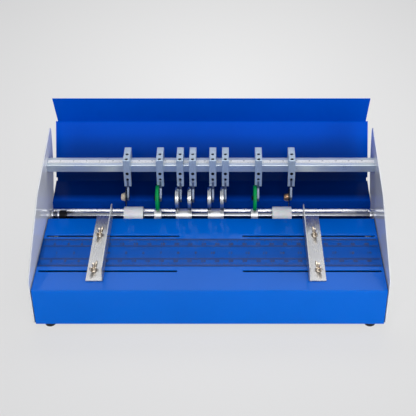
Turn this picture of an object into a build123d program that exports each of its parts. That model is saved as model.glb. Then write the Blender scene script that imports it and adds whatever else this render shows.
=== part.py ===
from build123d import *
import math
import os

# Desk-top rotary perforating and creasing machine, in millimetres.
# +X is to the operator's right, +Y to the back, +Z up. Everything is drawn with
# x = 0 midway between the side plates, y = 0 at the front panel and z = 0 under the
# feet, and is moved to the middle of its footprint when the parts are written.

# ---- frame and base ----
plate_gap = 500.0
plate_thickness = 2.0
plate_behind_tray = 20.3
plate_front_rise = 16.3
plate_knee = (125.0, 75.8)
plate_peak = (37.5, 101.3)
plate_waist = (24.5, 48.3)
plate_back_rise = 7.3
plate_knee_radius = 90.0
plate_corner_radius = 7.0
plate_edge_round = 0.5

sheet_thickness = 1.5
sheet_bend = 2.5
panel_height = 63.7
table_depth = 169.0
table_back_drop = 26.0
panel_lip = 6.0
cover_side_gap = 1.2
cover_flange_height = 44.0
cover_pad_diameter = 12.0
cover_flange_setback = 6.0
cover_edge_round = 1.3

slot_width = 4.5
slot_plate_gap = 4.5
slot_web = 93.0
front_slot_y = 43.0
back_slot_inset = 45.0

pan_gap = 0.1
pan_setback = 3.0
pan_front_height = 14.0
pan_back_height = 26.0
pan_flange_height = 15.0

foot_height = 12.5
foot_diameter = 16.0
foot_top_diameter = 14.0
foot_chamfer = 0.8
foot_stem_diameter = 5.8
foot_stem_gap = 0.1
foot_barb_height = 3.0
foot_barb_flare = 1.0
foot_recess_diameter = 7.0
foot_recess_depth = 2.5
foot_side_inset = 19.0
foot_front_inset = 15.0
foot_back_inset = 19.0

# ---- scales ----
table_scale_front_gap = 7.55
table_scale_back_gap = 4.15
table_scale_thickness = 0.3
scale_end_gap = 1.0
beam_scale_inset = 7.0
beam_scale_width = 8.0
beam_scale_thickness = 0.2

# ---- paper tray ----
tray_thickness = 1.2
tray_bend = 2.6
tray_side_gap = 1.0
tray_rod_gap = 2.7
tray_below_table = 1.7
tray_lip_height = 18.0
tray_floor_run = (43.3, 7.0)
tray_slope_run = (53.4, 79.0)
tray_flange_run = (-24.4, 55.4)
tray_flange_inset = 3.3
tray_floor_notch = (2.0, 5.0)
tray_notch_margin = 2.0
tray_ear_length = 15.0
tray_ear_height = 14.0

# ---- shaft and its fittings ----
shaft_diameter = 12.5
journal_diameter = 8.0
shaft_play = 0.3
left_end_proud = 1.5
journal_proud = 1.0
stub_diameter = 6.0
stub_length = 13.0
running_clearance = 0.03
turned_chamfer = 0.5

bush_wall = 3.0
bush_flange_rim = 2.5
bush_flange_length = 5.3
bush_outer_proud = 1.0

collar_bush_gap = 7.5
collar_step_gap = 10.5
collar_length = 9.0
collar_wall = 4.2
collar_ring_length = 3.2
collar_ring_wall = 3.0
collar_screw_diameter = 4.0
collar_screw_tilt = 60.0

rod_diameter = 8.0
rod_gap = 7.75
rod_below_shaft = 4.7

# ---- anvils on the shaft ----
soft_sleeve_wall = 7.75
soft_sleeve_length = 29.8
soft_sleeve_shift = 10.0
sleeve_table_gap = 9.0
sleeve_above_table = 1.5
ring_wall = 5.0
ring_length = 11.0
crease_sleeve_wall = 4.75
crease_sleeve_margin = 5.2
crease_groove_width = 1.8
crease_groove_depth = 1.4

# ---- beam and tool holders ----
beam_behind_shaft = 14.0
beam_above_shaft = 72.3
beam_depth = 22.0
beam_height = 12.0
beam_chamfer = 0.6

holder_width = 10.5
holder_leg = 7.0
holder_back_leg = 8.0
holder_top = 13.2
holder_fit = 0.1
holder_over_tape = 0.15
holder_front_drop = 21.5
holder_back_drop = 4.5
holder_slot_drop = 6.8
holder_chamfer = 0.5
stem_inset = 4.1
clamp_screw_inset = 10.6
lock_screw_rise = 1.4
holder_screw_diameter = 5.0
holder_screw_recess = 1.2
holder_eye_diameter = 4.8
stem_mouth_diameter = 5.2
stem_mouth_depth = 3.0
screw_socket = 2.5
thread_gap = 0.05

# ---- tool arms and wheels ----
arm_thickness = 3.0
arm_side_gap = 0.1
arm_end_rim = 2.2
arm_inset = 0.2
arm_slot_gap = 2.5
arm_tongue_length = 15.5
arm_chamfer = 1.0
arm_stem_diameter = 4.0
arm_stem_length = 18.5
axle_behind_shaft = 2.6
axle_diameter = 6.0
axle_spacer_rim = 1.0
axle_head_rim = 1.5
axle_head_length = 1.5
axle_head_chamfer = 0.4
axle_end_play = 0.15
wheel_relief = 0.4

crease_diameter = 36.6
crease_width = 5.2
crease_body_gap = 0.8
crease_rib_width = 1.0
crease_rib_height = 1.2
crease_spacer = 1.3
crease_lift = 1.8

score_diameter = 40.3
score_width = 6.5
score_gap = 0.3
score_spacer = 0.6
score_lift = 1.2
score_crown = 0.8

blade_diameter = 30.4
blade_thickness = 1.6
blade_gap = 4.7
blade_spacer = 0.9
blade_lift = 1.0
blade_teeth = 48
blade_notch = (0.9, 1.1)
blade_hub_rim = 2.5
blade_hub_length = 5.0

pair_pitch = 19.2
left_pair_x = -47.0
right_pair_x = 2.6
blade_holders_x = (-127.4, 122.4)
score_holders_x = (-77.6, 72.1)

# ---- paper guides ----
guide_front = 20.0
guide_over_table = 2.0
guide_foot = 25.0
guide_fence = 25.0
guide_thickness = 1.5
guide_bend = 2.5
guide_lift = 0.05
left_fence_x = -150.0
right_fence_x = 139.5
stud_from_fence = 15.5
stud_diameter = 4.0
stud_chamfer = 0.5
stud_head_diameter = 9.0
stud_head_height = 2.0
stud_head_gap = 0.1
stud_proud = 2.15

nut_body_wall = 2.3
nut_top_wall = 1.5
nut_body_height = 4.8
nut_span = 20.0
nut_height = 10.5
nut_wing_radius = 3.2
nut_wing_thickness = 1.9
nut_wing_round = 0.5
nut_root_height = 3.4
nut_turns = {
    "left_front": 72.0,
    "left_back": 84.0,
    "right_front": 104.0,
    "right_back": 98.0,
}

# ---- machine screws through the side plates ----
screw_diameter = 3.9
screw_length = 10.0
screw_head_diameter = 8.0
screw_head_height = 2.4
screw_head_round = 1.1
screw_hole_gap = 0.3
seat_gap = 0.02
screw_drive = 2.5
screw_drive_depth = 1.3
cover_screw_front = 14.0
cover_screw_back_inset = 19.0
cover_screw_drop = 21.7
pan_screw_front = 60.0
pan_screw_back_inset = 44.0
pan_screw_rise = 9.0
tray_screw_inset = 9.3
beam_screw_spacing = 11.0

# how far a cutting tool reaches past the surface that it opens
overcut = 1.0

# ---- heights and depths worked out from the sizes above ----
half_gap = plate_gap / 2
plate_outer_x = half_gap + plate_thickness
base_z = foot_height - sheet_thickness
table_z = base_z + panel_height

soft_sleeve_diameter = shaft_diameter + 2 * soft_sleeve_wall
ring_diameter = shaft_diameter + 2 * ring_wall
crease_sleeve_diameter = shaft_diameter + 2 * crease_sleeve_wall
crease_sleeve_length = pair_pitch + crease_sleeve_margin
shaft_y = table_depth + sleeve_table_gap + soft_sleeve_diameter / 2
shaft_z = table_z + sleeve_above_table - soft_sleeve_diameter / 2

bush_body_diameter = journal_diameter + 2 * bush_wall
bush_flange_diameter = bush_body_diameter + 2 * bush_flange_rim
bush_inner_x = half_gap - bush_flange_length
bush_outer_x = plate_outer_x + bush_outer_proud
collar_left = -bush_inner_x + collar_bush_gap + collar_ring_length
collar_right = collar_left + collar_length
shaft_left_end = collar_right + collar_step_gap
shaft_right_end = bush_inner_x - shaft_play
stub_left = bush_outer_x + journal_proud
stub_right = stub_left + stub_length

rod_y = shaft_y + (shaft_diameter + rod_diameter) / 2 + rod_gap
rod_z = shaft_z - rod_below_shaft
tray_front = rod_y + rod_diameter / 2 + tray_rod_gap
tray_lip_z = table_z - tray_below_table - tray_lip_height
plate_depth = tray_front + plate_behind_tray
pan_depth = plate_depth - pan_setback

slot_length = half_gap - slot_plate_gap - slot_web / 2
slot_center_x = (half_gap - slot_plate_gap + slot_web / 2) / 2
slot_rows_y = (front_slot_y, table_depth - back_slot_inset)
table_scale_front = slot_rows_y[0] + slot_width / 2 + table_scale_front_gap
table_scale_back = slot_rows_y[1] - slot_width / 2 - table_scale_back_gap
foot_x = half_gap - foot_side_inset
foot_rows_y = (foot_front_inset, plate_depth - foot_back_inset)

beam_y = shaft_y + beam_behind_shaft
beam_z = shaft_z + beam_above_shaft
beam_top_z = beam_z + beam_height
holder_under_z = beam_top_z + beam_scale_thickness + holder_over_tape
holder_top_z = holder_under_z + holder_top
holder_bottom_z = beam_z - holder_front_drop
holder_slot_z = beam_z - holder_slot_drop
holder_front_y = beam_y - holder_fit - holder_leg
holder_back_y = beam_y + beam_depth + holder_fit + holder_back_leg
stem_y = holder_front_y + stem_inset
clamp_screw_y = beam_y + clamp_screw_inset
lock_screw_z = beam_z + lock_screw_rise
axle_y = shaft_y + axle_behind_shaft

cover_screws = [
    (cover_screw_front, table_z - cover_screw_drop),
    (table_depth - cover_screw_back_inset, table_z - cover_screw_drop),
]
pan_screws = [
    (pan_screw_front, base_z + sheet_thickness + pan_screw_rise),
    (pan_depth - pan_screw_back_inset, base_z + sheet_thickness + pan_screw_rise),
]
tray_screws = [(tray_front + tray_screw_inset, tray_lip_z + tray_ear_height / 2)]
beam_screws = [
    (beam_y + (beam_depth + side * beam_screw_spacing) / 2, beam_z + beam_height / 2)
    for side in (-1, 1)
]
rod_screws = [(rod_y, rod_z)]
side_screws = cover_screws + pan_screws + tray_screws + rod_screws + beam_screws

parts = {}


def cylinder_x(diameter, x_from, x_to, y, z):
    """Round bar along X between two x values."""
    bar = Cylinder(diameter / 2, x_to - x_from, rotation=(0, 90, 0))
    return Pos((x_from + x_to) / 2, y, z) * bar


def cylinder_z(diameter, x, y, z_from, z_to):
    """Round bar along Z between two heights."""
    return Pos(x, y, (z_from + z_to) / 2) * Cylinder(diameter / 2, z_to - z_from)


def block(x_range, y_range, z_range):
    """Square block between three pairs of limits."""
    sizes = [high - low for low, high in (x_range, y_range, z_range)]
    middle = [(low + high) / 2 for low, high in (x_range, y_range, z_range)]
    return Pos(*middle) * Box(*sizes)


def folded_sheet(folds, thickness, bend, width, side):
    """Sheet folded along a chain of (y, z) points, with its width along X.

    The chain is the sheet's outer face. The metal lies on the given side of it.
    """
    face_line = FilletPolyline(*folds, radius=bend)
    outline = face_line.wire().offset_2d(thickness, side=side)
    section = Plane.YZ * make_face(outline.edges())
    return extrude(section, amount=width / 2, both=True)


def turned(profile):
    """Solid of revolution about X from a closed chain of (x, radius) points."""
    section = make_face(Polyline(*profile, close=True))
    return revolve(section, Axis.X)


def hex_recess(across_flats, depth):
    """Hexagon socket that sinks from z = 0 downwards."""
    hexagon = RegularPolygon(across_flats / math.sqrt(3), 6)
    return extrude(hexagon, amount=-depth)


# ---- side plates ----
def side_plate(side):
    """One powder-coated plate; side is -1 for the left and +1 for the right."""
    top_front = (0, table_z + plate_front_rise)
    knee = (plate_knee[0], table_z + plate_knee[1])
    peak = (plate_depth + plate_peak[0], table_z + plate_peak[1])
    waist = (plate_depth + plate_waist[0], table_z + plate_waist[1])
    back_foot = (plate_depth, table_z + plate_back_rise)
    front = Polyline((plate_depth, base_z), (0, base_z), top_front, knee, peak)
    back = ThreePointArc(peak, waist, back_foot)
    close = Line(back_foot, (plate_depth, base_z))
    face = make_face(front.edges() + [back.edge(), close.edge()])

    def corner(point):
        return face.vertices().sort_by_distance((point[0], point[1], 0))[0]

    small = [corner((0, base_z)), corner(top_front), corner(peak), corner((plate_depth, base_z))]
    knee_vertex = corner(knee)
    face = fillet(knee_vertex, plate_knee_radius)
    small = [face.vertices().sort_by_distance(v.center())[0] for v in small]
    face = fillet(small, plate_corner_radius)
    plate = extrude(Plane.YZ * face, amount=plate_thickness)
    rims = [plate.faces().sort_by(Axis.X)[0], plate.faces().sort_by(Axis.X)[-1]]
    plate = fillet([edge for rim in rims for edge in rim.edges()], plate_edge_round)
    start_x = half_gap if side > 0 else -plate_outer_x
    plate = Pos(start_x, 0, 0) * plate
    reach = (start_x - overcut, start_x + plate_thickness + overcut)
    for y, z in side_screws:
        plate -= cylinder_x(screw_diameter + screw_hole_gap, *reach, y, z)
    plate -= cylinder_x(bush_body_diameter, *reach, shaft_y, shaft_z)
    return plate


parts["left_side_plate"] = side_plate(-1)
parts["right_side_plate"] = side_plate(1)


# ---- base cover: front panel and slotted table in one folded sheet ----
def tapped_sides(body, points):
    """Tapped holes for the side-plate screws at both ends of a body."""
    for side in (-1, 1):
        inner = side * (half_gap + plate_thickness - screw_length - thread_gap)
        outer = side * (half_gap + overcut)
        for y, z in points:
            hole = cylinder_x(screw_diameter + 2 * thread_gap, min(inner, outer), max(inner, outer), y, z)
            body -= hole
    return body


def base_cover():
    folds = [
        (panel_lip, base_z),
        (0, base_z),
        (0, table_z),
        (table_depth, table_z),
        (table_depth, table_z - table_back_drop),
    ]
    width = plate_gap - 2 * cover_side_gap
    cover = folded_sheet(folds, sheet_thickness, sheet_bend, width, Side.RIGHT)
    flange_y = (cover_flange_setback, table_depth - cover_flange_setback)
    for side in (-1, 1):
        outer_x = width / 2
        flange_x = sorted((side * (outer_x - sheet_thickness), side * outer_x))
        flange = block(flange_x, flange_y, (table_z - cover_flange_height, table_z))
        top_edges = flange.edges().filter_by(Axis.Y).group_by(Axis.Z)[-1]
        cover += fillet(top_edges.sort_by(Axis.X)[-1 if side > 0 else 0], cover_edge_round)
        pad_x = sorted((side * (outer_x - sheet_thickness), side * half_gap))
        for y, z in cover_screws:
            cover += cylinder_x(cover_pad_diameter, *pad_x, y, z)
        for y in slot_rows_y:
            slot = Pos(side * slot_center_x, y, table_z) * SlotOverall(slot_length, slot_width)
            cover -= extrude(slot, amount=2 * sheet_thickness, both=True)
    return tapped_sides(cover, cover_screws)


parts["base_cover"] = base_cover()


# ---- bottom pan: closes the base and carries the feet ----
def bottom_pan():
    front_y = sheet_thickness + pan_gap
    floor_z = base_z + sheet_thickness
    folds = [
        (front_y, floor_z + pan_front_height),
        (front_y, floor_z),
        (pan_depth, floor_z),
        (pan_depth, floor_z + pan_back_height),
    ]
    pan = folded_sheet(folds, sheet_thickness, sheet_bend, plate_gap - 2 * pan_gap, Side.LEFT)
    flange_y = (front_y + 2 * sheet_bend, pan_depth - 2 * sheet_bend)
    for side in (-1, 1):
        flange_x = sorted((side * (half_gap - sheet_thickness), side * half_gap))
        pan += block(flange_x, flange_y, (floor_z, floor_z + pan_flange_height))
        for y in foot_rows_y:
            x = side * foot_x
            hole_diameter = foot_stem_diameter + 2 * foot_stem_gap
            pan -= cylinder_z(hole_diameter, x, y, floor_z - overcut, floor_z + sheet_thickness + overcut)
    return tapped_sides(pan, pan_screws)


parts["bottom_pan"] = bottom_pan()


# ---- rubber push-in feet ----
def foot(x, y):
    """Tapered pad, a neck through the pan and a barb above it."""
    seat_z = base_z + sheet_thickness
    pad = Cone(foot_diameter / 2, foot_top_diameter / 2, seat_z)
    pad = chamfer(pad.edges().sort_by(Axis.Z)[0], foot_chamfer)
    neck_top = seat_z + sheet_thickness + seat_gap
    body = Pos(x, y, seat_z / 2) * pad
    body += cylinder_z(foot_stem_diameter, x, y, seat_z / 2, neck_top)
    neck = foot_stem_diameter / 2
    barb = Cone(neck + foot_barb_flare, neck - foot_barb_flare, foot_barb_height)
    body += Pos(x, y, neck_top + foot_barb_height / 2) * barb
    return body - cylinder_z(foot_recess_diameter, x, y, -overcut, foot_recess_depth)


parts["rubber_feet"] = Compound(
    children=[foot(side * foot_x, y) for side in (-1, 1) for y in foot_rows_y]
)


# ---- paper tray behind the shaft ----
def chain(start, *runs):
    """Chain of points from a start and the runs that follow it."""
    points = [start]
    for run in runs:
        points.append((points[-1][0] + run[0], points[-1][1] + run[1]))
    return points


def paper_tray():
    lip_bottom = (tray_front, tray_lip_z)
    folds = chain(lip_bottom, (0, tray_lip_height), tray_floor_run, tray_slope_run, tray_flange_run)
    width = plate_gap - 2 * tray_side_gap
    tray = folded_sheet(folds, tray_thickness, tray_bend, width, Side.RIGHT)
    ear_z = (tray_lip_z, tray_lip_z + tray_ear_height)
    tray += block(
        (-half_gap, half_gap),
        (tray_front, tray_front + tray_thickness),
        ear_z,
    )
    floor_y, floor_z = folds[2]
    fold_y, fold_z = folds[3]
    reach = tray_bend + tray_notch_margin
    notch_y = (floor_y - reach, floor_y + reach)
    notch_z = (floor_z, floor_z + tray_floor_notch[1])
    flange_y = (fold_y + tray_flange_run[0] - reach, fold_y + reach)
    flange_z = (fold_z, fold_z + tray_flange_run[1] + reach)
    for side in (-1, 1):
        ear_x = sorted((side * (half_gap - tray_thickness), side * half_gap))
        ear_y = (tray_front, tray_front + tray_ear_length)
        tray += block(ear_x, ear_y, ear_z)
        edge_x = side * width / 2
        notch_x = sorted((edge_x - side * tray_floor_notch[0], edge_x + side * overcut))
        tray -= block(notch_x, notch_y, notch_z)
        trim_x = sorted((edge_x - side * tray_flange_inset, edge_x + side * overcut))
        tray -= block(trim_x, flange_y, flange_z)
    return tapped_sides(tray, tray_screws)


parts["paper_tray"] = paper_tray()


# ---- beam, tie rod and printed scales ----
def tool_beam():
    beam = block((-half_gap, half_gap), (beam_y, beam_y + beam_depth), (beam_z, beam_top_z))
    beam = chamfer(beam.edges().filter_by(Axis.X), beam_chamfer)
    return tapped_sides(beam, beam_screws)


parts["tool_beam"] = tool_beam()

scale_x = (-half_gap + scale_end_gap, half_gap - scale_end_gap)
tape_y = beam_y + beam_scale_inset
parts["beam_scale"] = block(
    scale_x, (tape_y, tape_y + beam_scale_width), (beam_top_z, beam_top_z + beam_scale_thickness)
)
parts["table_scale"] = block(
    scale_x,
    (table_scale_front, table_scale_back),
    (table_z, table_z + table_scale_thickness),
)
parts["tie_rod"] = tapped_sides(
    cylinder_x(rod_diameter, -half_gap, half_gap, rod_y, rod_z), rod_screws
)


# ---- screws through the side plates ----
def side_screw(side, y, z):
    """Round-headed socket screw driven inwards from a side plate."""
    head = Cylinder(screw_head_diameter / 2, screw_head_height)
    head = fillet(head.edges().sort_by(Axis.Z)[-1], screw_head_round)
    head = Pos(0, 0, screw_head_height / 2) * head
    shank = cylinder_z(screw_diameter, 0, 0, -screw_length, 0)
    socket = Pos(0, 0, screw_head_height) * hex_recess(screw_drive, screw_drive_depth)
    screw = head + shank - socket
    return Pos(side * (plate_outer_x + seat_gap), y, z) * Rot(0, side * 90, 0) * screw


parts["side_screws"] = Compound(
    children=[side_screw(side, y, z) for side in (-1, 1) for y, z in side_screws]
)


# ---- shaft bushes ----
def shaft_bush(side):
    """Flanged plain bush pressed into a side plate, flange inwards."""
    flange = bush_flange_diameter / 2
    body = bush_body_diameter / 2
    bore = journal_diameter / 2 + running_clearance
    profile = [
        (bush_inner_x, bore),
        (bush_inner_x, flange - turned_chamfer),
        (bush_inner_x + turned_chamfer, flange),
        (half_gap, flange),
        (half_gap, body),
        (bush_outer_x, body),
        (bush_outer_x, bore),
    ]
    bush = turned([(side * x, radius) for x, radius in profile])
    return Pos(0, shaft_y, shaft_z) * bush


parts["shaft_bushes"] = Compound(children=[shaft_bush(-1), shaft_bush(1)])


# ---- drive shaft and its clamping collar ----
def drive_shaft():
    journal = journal_diameter / 2
    main = shaft_diameter / 2
    stub = stub_diameter / 2
    left_tip = -plate_outer_x - left_end_proud
    profile = [
        (left_tip, 0),
        (left_tip, journal - turned_chamfer),
        (left_tip + turned_chamfer, journal),
        (shaft_left_end, journal),
        (shaft_left_end, main - turned_chamfer),
        (shaft_left_end + turned_chamfer, main),
        (shaft_right_end, main),
        (shaft_right_end, journal),
        (stub_left, journal),
        (stub_left, stub),
        (stub_right - turned_chamfer, stub),
        (stub_right, stub - turned_chamfer),
        (stub_right, 0),
    ]
    return Pos(0, shaft_y, shaft_z) * turned(profile)


parts["drive_shaft"] = drive_shaft()


def shaft_collar():
    """Black clamping collar with a bright turned ring on its outer end."""
    bore = journal_diameter / 2 + running_clearance
    ring = journal_diameter / 2 + collar_ring_wall
    rim = journal_diameter / 2 + collar_wall
    profile = [
        (collar_left - collar_ring_length, bore),
        (collar_left - collar_ring_length, ring),
        (collar_left, ring),
        (collar_left, rim - turned_chamfer),
        (collar_left + turned_chamfer, rim),
        (collar_right - turned_chamfer, rim),
        (collar_right, rim - turned_chamfer),
        (collar_right, bore),
    ]
    screw_x = (collar_left + collar_right) / 2
    hole = cylinder_z(collar_screw_diameter, screw_x, 0, 0, rim + overcut)
    return Pos(0, shaft_y, shaft_z) * (turned(profile) - Rot(-collar_screw_tilt, 0, 0) * hole)


parts["shaft_collar"] = shaft_collar()


# ---- anvils that the tools press against ----
def anvil(diameter, length, x):
    """Plain chamfered sleeve that slides along the shaft."""
    bore = shaft_diameter / 2 + running_clearance
    rim = diameter / 2
    half = length / 2
    profile = [
        (-half, bore),
        (-half, rim - turned_chamfer),
        (-half + turned_chamfer, rim),
        (half - turned_chamfer, rim),
        (half, rim - turned_chamfer),
        (half, bore),
    ]
    return Pos(x, shaft_y, shaft_z) * turned(profile)


def crease_sleeve(x):
    """Steel sleeve with one creasing groove under each wheel of a pair."""
    sleeve = anvil(crease_sleeve_diameter, crease_sleeve_length, x)
    for side in (-1, 1):
        groove_x = x + side * pair_pitch / 2
        inner = crease_sleeve_diameter - 2 * crease_groove_depth
        reach = (groove_x - crease_groove_width / 2, groove_x + crease_groove_width / 2)
        ring = cylinder_x(crease_sleeve_diameter + overcut, *reach, shaft_y, shaft_z)
        ring -= cylinder_x(inner, *reach, shaft_y, shaft_z)
        sleeve -= ring
    return sleeve


# ---- tool wheels ----
def axle_height(wheel_diameter, anvil_diameter, gap):
    """Height of an axle whose wheel clears its anvil by the given gap."""
    distance = (wheel_diameter + anvil_diameter) / 2 + gap
    return shaft_z + math.sqrt(distance**2 - axle_behind_shaft**2)


crease_axle_z = axle_height(crease_diameter, crease_sleeve_diameter, crease_body_gap)
score_axle_z = axle_height(score_diameter, ring_diameter, score_gap)
blade_axle_z = axle_height(blade_diameter, soft_sleeve_diameter, blade_gap)
arm_above_axle = holder_slot_z - arm_slot_gap - blade_axle_z
wheel_bore = axle_diameter / 2 + running_clearance


def crease_wheel():
    """Polished steel wheel whose rib dips into the groove of its anvil."""
    half = crease_width / 2
    rib = crease_rib_width / 2
    rim = crease_diameter / 2
    shoulder = rim - turned_chamfer
    profile = [
        (-half, wheel_bore),
        (-half, shoulder),
        (-half + turned_chamfer, rim),
        (-rib, rim),
        (-rib, rim + crease_rib_height),
        (rib, rim + crease_rib_height),
        (rib, rim),
        (half - turned_chamfer, rim),
        (half, shoulder),
        (half, wheel_bore),
    ]
    return turned(profile)


def score_wheel():
    """Polymer wheel with a slightly crowned tread."""
    half = score_width / 2
    rim = score_diameter / 2
    shoulder = rim - score_crown
    outline = Polyline((-half, shoulder), (-half, wheel_bore), (half, wheel_bore), (half, shoulder))
    tread = ThreePointArc((half, shoulder), (0, rim), (-half, shoulder))
    return revolve(make_face(outline.edges() + tread.edges()), Axis.X)


blade_left = -blade_thickness / 2 - blade_hub_length


def blade_wheel():
    """Thin toothed perforating disc with its hub on the left."""
    disc = cylinder_x(blade_diameter, -blade_thickness / 2, blade_thickness / 2, 0, 0)
    notch_width, notch_depth = blade_notch
    notch = block(
        (-blade_thickness, blade_thickness),
        (-notch_width / 2, notch_width / 2),
        (blade_diameter / 2 - notch_depth, blade_diameter / 2 + overcut),
    )
    for tooth in range(blade_teeth):
        disc -= Rot(360 * tooth / blade_teeth, 0, 0) * notch
    hub = cylinder_x(axle_diameter + 2 * blade_hub_rim, blade_left, 0, 0, 0)
    hub = chamfer(hub.edges().sort_by(Axis.X)[0], turned_chamfer)
    return disc + hub - cylinder_x(2 * wheel_bore, blade_left - overcut, blade_thickness, 0, 0)


# ---- tool arms ----
def wheel_arm(axle_z, spacer, wheel_left):
    """Arm with a stem that slides in the holder and a riveted axle on its left."""
    holder_y = (holder_front_y + arm_inset, beam_y - holder_fit - arm_inset)
    top_z = axle_z + arm_above_axle
    tongue_z = top_z - arm_tongue_length
    half = arm_thickness / 2
    tongue = block((-half, half), holder_y, (tongue_z, top_z))
    tongue = chamfer(tongue.edges().filter_by(Axis.X).group_by(Axis.Z)[-1], arm_chamfer)
    tongue_middle = sum(holder_y) / 2
    end_round = Pos(axle_y, axle_z) * Circle(axle_diameter / 2 + arm_end_rim)
    root = Pos(tongue_middle, tongue_z + overcut / 2) * Rectangle(holder_y[1] - holder_y[0], overcut)
    paddle = Plane.YZ * make_hull(end_round.edges() + root.edges())
    arm = tongue + extrude(paddle, amount=half, both=True)
    arm += cylinder_z(arm_stem_diameter, 0, stem_y, tongue_z, top_z + arm_stem_length)
    spacer_left = -half - spacer + axle_end_play
    arm += cylinder_x(axle_diameter + 2 * axle_spacer_rim, spacer_left, 0, axle_y, axle_z)
    head_right = wheel_left - axle_end_play
    head_left = head_right - axle_head_length
    arm += cylinder_x(axle_diameter, (head_left + head_right) / 2, 0, axle_y, axle_z)
    head = cylinder_x(axle_diameter + 2 * axle_head_rim, head_left, head_right, axle_y, axle_z)
    arm += chamfer(head.edges().sort_by(Axis.X)[0], axle_head_chamfer)
    return arm


# ---- tool holders ----
def tool_holder(axle_z, wheel_radius, wheel_right, lift):
    """Aluminium saddle over the beam, slotted at the front for the arm."""
    half = holder_width / 2
    wide = (-half, half)
    beam_front_y = beam_y - holder_fit
    cut_z = holder_bottom_z - overcut
    saddle = block(wide, (holder_front_y, holder_back_y), (beam_z - holder_back_drop, holder_top_z))
    saddle += block(wide, (holder_front_y, beam_front_y), (holder_bottom_z, holder_top_z))
    channel_y = (beam_front_y, beam_y + beam_depth + holder_fit)
    saddle -= block((-half - overcut, half + overcut), channel_y, (cut_z, holder_under_z))
    saddle = chamfer(saddle.faces().sort_by(Axis.Z)[-1].edges(), holder_chamfer)
    slot_side = arm_thickness / 2 + arm_side_gap
    slot_y = (holder_front_y - overcut, beam_y)
    slot_round_z = holder_slot_z - slot_side
    saddle -= block((-slot_side, slot_side), slot_y, (cut_z, slot_round_z))
    slot_end = Cylinder(slot_side, slot_y[1] - slot_y[0], rotation=(90, 0, 0))
    saddle -= Pos(0, sum(slot_y) / 2, slot_round_z) * slot_end
    eye = Cylinder(holder_eye_diameter / 2, beam_front_y - slot_y[0], rotation=(90, 0, 0))
    eye_z = holder_slot_z - holder_eye_diameter / 2
    saddle -= Pos(0, (slot_y[0] + beam_front_y) / 2, eye_z) * eye
    bore = arm_stem_diameter + 2 * running_clearance
    saddle -= cylinder_z(bore, 0, stem_y, cut_z, holder_top_z + overcut)
    mouth_z = (holder_top_z - stem_mouth_depth, holder_top_z + overcut)
    saddle -= cylinder_z(stem_mouth_diameter, 0, stem_y, *mouth_z)
    thread = holder_screw_diameter + 2 * thread_gap
    saddle -= cylinder_z(thread, 0, clamp_screw_y, holder_under_z - overcut, holder_top_z + overcut)
    lock = Cylinder(thread / 2, stem_y - holder_front_y + overcut, rotation=(90, 0, 0))
    saddle -= Pos(0, (holder_front_y - overcut + stem_y) / 2, lock_screw_z) * lock
    relief_diameter = 2 * (wheel_radius + lift + wheel_relief)
    relief_right = wheel_right + wheel_relief
    saddle -= cylinder_x(relief_diameter, -half - overcut, relief_right, axle_y, axle_z)
    return saddle


def holder_screws():
    """Clamp screw on top of the beam and lock screw against the arm's stem."""
    clamp_bottom = beam_top_z + beam_scale_thickness + thread_gap
    clamp_top = holder_top_z - holder_screw_recess
    clamp = cylinder_z(holder_screw_diameter, 0, clamp_screw_y, clamp_bottom, clamp_top)
    clamp -= Pos(0, clamp_screw_y, clamp_top) * hex_recess(screw_socket, screw_socket)
    stem_front = stem_y - arm_stem_diameter / 2 - thread_gap
    lock_front = holder_front_y + thread_gap
    lock = Cylinder(holder_screw_diameter / 2, stem_front - lock_front)
    lock = Pos(0, 0, -(stem_front - lock_front) / 2) * lock
    lock -= hex_recess(screw_socket, screw_socket / 2)
    lock = Pos(0, lock_front, lock_screw_z) * Rot(90, 0, 0) * lock
    return Compound(children=[clamp, lock])


# ---- the eight tool stations across the beam ----
tools = {
    "perforating": {
        "wheel": blade_wheel,
        "spacer": blade_spacer,
        "left": blade_left,
        "right": blade_thickness / 2,
        "radius": blade_diameter / 2,
        "axle_z": blade_axle_z,
        "lift": blade_lift,
    },
    "scoring": {
        "wheel": score_wheel,
        "spacer": score_spacer,
        "left": -score_width / 2,
        "right": score_width / 2,
        "radius": score_diameter / 2,
        "axle_z": score_axle_z,
        "lift": score_lift,
    },
    "creasing": {
        "wheel": crease_wheel,
        "spacer": crease_spacer,
        "left": -crease_width / 2,
        "right": crease_width / 2,
        "radius": crease_diameter / 2 + crease_rib_height,
        "axle_z": crease_axle_z,
        "lift": crease_lift,
    },
}
stations = [
    ("perforating", blade_holders_x[0]),
    ("scoring", score_holders_x[0]),
    ("creasing", left_pair_x),
    ("creasing", left_pair_x + pair_pitch),
    ("creasing", right_pair_x),
    ("creasing", right_pair_x + pair_pitch),
    ("scoring", score_holders_x[1]),
    ("perforating", blade_holders_x[1]),
]


def wheel_offset(kind):
    """Place of a wheel's middle along X, measured from its holder's middle."""
    tool = tools[kind]
    return -(arm_thickness / 2 + tool["spacer"] + tool["right"])


for number, (kind, x) in enumerate(stations, start=1):
    tool = tools[kind]
    axle_z = tool["axle_z"]
    middle = wheel_offset(kind)
    holder = tool_holder(axle_z, tool["radius"], middle + tool["right"], tool["lift"])
    arm = wheel_arm(axle_z, tool["spacer"], middle + tool["left"])
    parts[f"tool_holder_{number}"] = Pos(x, 0, 0) * holder
    parts[f"holder_screws_{number}"] = Pos(x, 0, 0) * holder_screws()
    parts[f"wheel_arm_{number}"] = Pos(x, 0, 0) * arm
    parts[f"{kind}_wheel_{number}"] = Pos(x + middle, axle_y, axle_z) * tool["wheel"]()

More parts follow.
